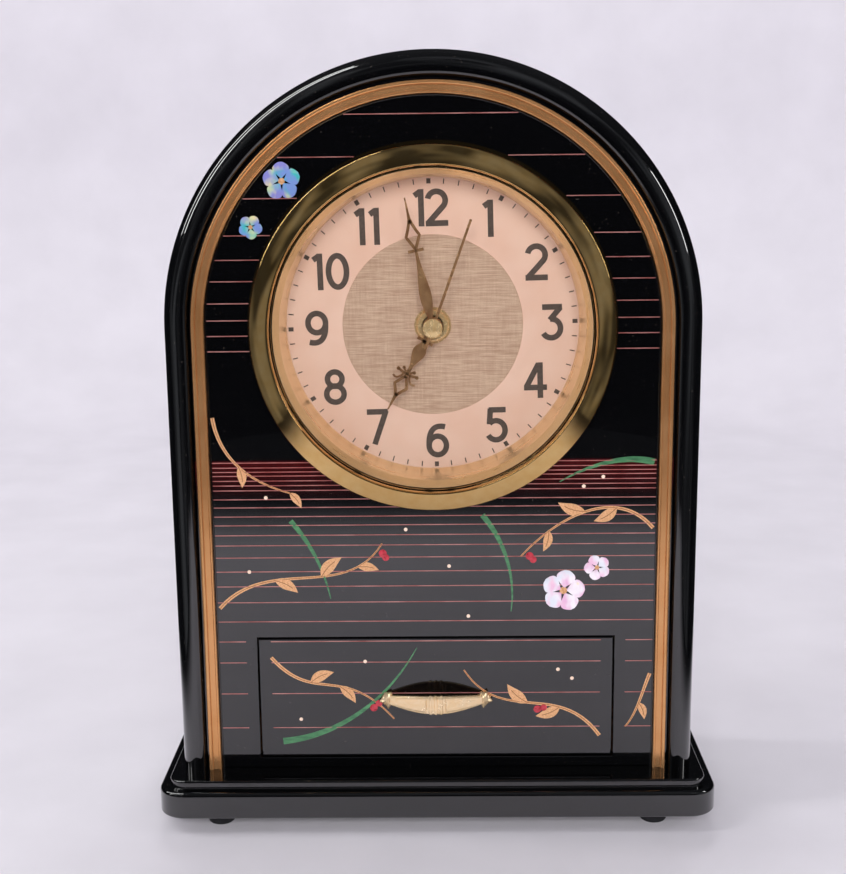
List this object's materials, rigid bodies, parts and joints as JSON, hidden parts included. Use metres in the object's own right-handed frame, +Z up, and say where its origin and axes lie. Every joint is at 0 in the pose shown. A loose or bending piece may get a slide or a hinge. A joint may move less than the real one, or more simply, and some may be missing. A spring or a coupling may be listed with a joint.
{
  "type": "table clock",
  "caption": "Arched black lacquered table clock with a gilt bezel, a numbered dial under glass, moving hands on a geared quartz movement, and a pull-out drawer in a stepped base case.",
  "frame": {"origin": "on the standing surface, under the middle of the base", "axes": "+Z up, the dial and the drawer face -Y, +X to the right of someone who reads the dial"},
  "size_m": [0.237, 0.104, 0.322],
  "materials": {
    "black_lacquered_wood": "black high-gloss lacquer over a wooden case",
    "gilt_metal": "polished gilt",
    "brass": "turned and stamped brass, light patina",
    "foot_rubber": "matt black",
    "fibreboard": "plain pressed board",
    "glass": "clear, polished",
    "cream_paint": "satin paint",
    "brushed_foil": "fine brushed foil",
    "steel": "plain bright steel",
    "black_moulding": "fine moulded texture",
    "white_moulding": "moulded, smooth",
    "magnet": "pressed ferrite",
    "copper_wire": "enamelled wire",
    "circuit_board": "solder resist",
    "cell_wrap": "plain grey wrap",
    "drawer_wood": "dark stained wood",
    "red_felt": "short pile felt"
  },
  "bodies": {
    "case": {"case_shell": "black_lacquered_wood", "front_panel": "black_lacquered_wood", "trim_bead": "gilt_metal", "base_plinth": "black_lacquered_wood", "foot_front_left": "foot_rubber", "foot_back_left": "foot_rubber", "foot_front_right": "foot_rubber", "foot_back_right": "foot_rubber", "rear_cover": "fibreboard", "rear_cover_screw_1": "steel", "rear_cover_screw_2": "steel", "rear_cover_screw_3": "steel", "rear_cover_screw_4": "steel", "bezel_ring": "gilt_metal", "bezel_retainer": "steel", "lens": "glass", "reflector_ring": "gilt_metal", "dial_plate": "cream_paint", "dial_centre": "brushed_foil", "dial_retainer": "steel", "hand_washer": "brass", "hand_nut": "brass", "movement_front_case": "black_moulding", "middle_plate": "white_moulding", "stator": "steel", "coil": "copper_wire", "circuit_board": "circuit_board", "quartz_crystal": "steel", "movement_rear_cover": "black_moulding", "battery": "cell_wrap", "contact_negative": "brass", "contact_positive": "brass", "drawer_shelf": "fibreboard", "runner_left": "drawer_wood", "runner_right": "drawer_wood"},
    "drawer": {"drawer_front": "black_lacquered_wood", "drawer_side_left": "drawer_wood", "drawer_side_right": "drawer_wood", "drawer_back": "drawer_wood", "drawer_bottom": "drawer_wood", "drawer_lining": "red_felt", "drawer_pull": "gilt_metal", "pull_screw_left": "steel", "pull_screw_right": "steel"},
    "second_train": {"second_wheel": "white_moulding", "second_hand": "brass"},
    "intermediate_train": {"intermediate_wheel": "white_moulding"},
    "rotor_train": {"rotor": "magnet"},
    "third_train": {"third_wheel": "white_moulding"},
    "minute_train": {"minute_wheel": "white_moulding", "minute_hand": "brass"},
    "motion_train": {"motion_wheel": "white_moulding", "setting_knob": "black_moulding"},
    "hour_train": {"hour_wheel": "white_moulding", "hour_hand": "brass"}
  },
  "joints": [
    {"name": "drawer_slide", "type": "slide", "parent": "case", "child": "drawer", "axis": [0, -1, 0], "range_m": [0, 0.05]},
    {"name": "second_spin", "type": "hinge", "parent": "case", "child": "second_train", "pos_m": [0, 0, 0.212], "axis": [0, 1, 0], "continuous": true},
    {"name": "intermediate_spin", "type": "hinge", "parent": "case", "child": "intermediate_train", "pos_m": [0, 0, 0.221], "axis": [0, 1, 0], "continuous": true},
    {"name": "rotor_spin", "type": "hinge", "parent": "case", "child": "rotor_train", "pos_m": [0.00688, 0, 0.22582], "axis": [0, 1, 0], "continuous": true},
    {"name": "third_spin", "type": "hinge", "parent": "case", "child": "third_train", "pos_m": [-0.01125, 0, 0.212], "axis": [0, 1, 0], "continuous": true},
    {"name": "minute_spin", "type": "hinge", "parent": "case", "child": "minute_train", "pos_m": [0, 0, 0.212], "axis": [0, 1, 0], "continuous": true},
    {"name": "motion_spin", "type": "hinge", "parent": "case", "child": "motion_train", "pos_m": [0.01137, 0, 0.21614], "axis": [0, 1, 0], "continuous": true},
    {"name": "hour_spin", "type": "hinge", "parent": "case", "child": "hour_train", "pos_m": [0, 0, 0.212], "axis": [0, 1, 0], "continuous": true}
  ],
  "couplings": [
    {"joint": "intermediate_spin", "follows": "second_spin", "ratio": -5},
    {"joint": "rotor_spin", "follows": "second_spin", "ratio": 30},
    {"joint": "third_spin", "follows": "second_spin", "ratio": -0.13333},
    {"joint": "minute_spin", "follows": "second_spin", "ratio": 0.016667},
    {"joint": "motion_spin", "follows": "second_spin", "ratio": -0.0055556},
    {"joint": "hour_spin", "follows": "second_spin", "ratio": 0.0013889}
  ]
}
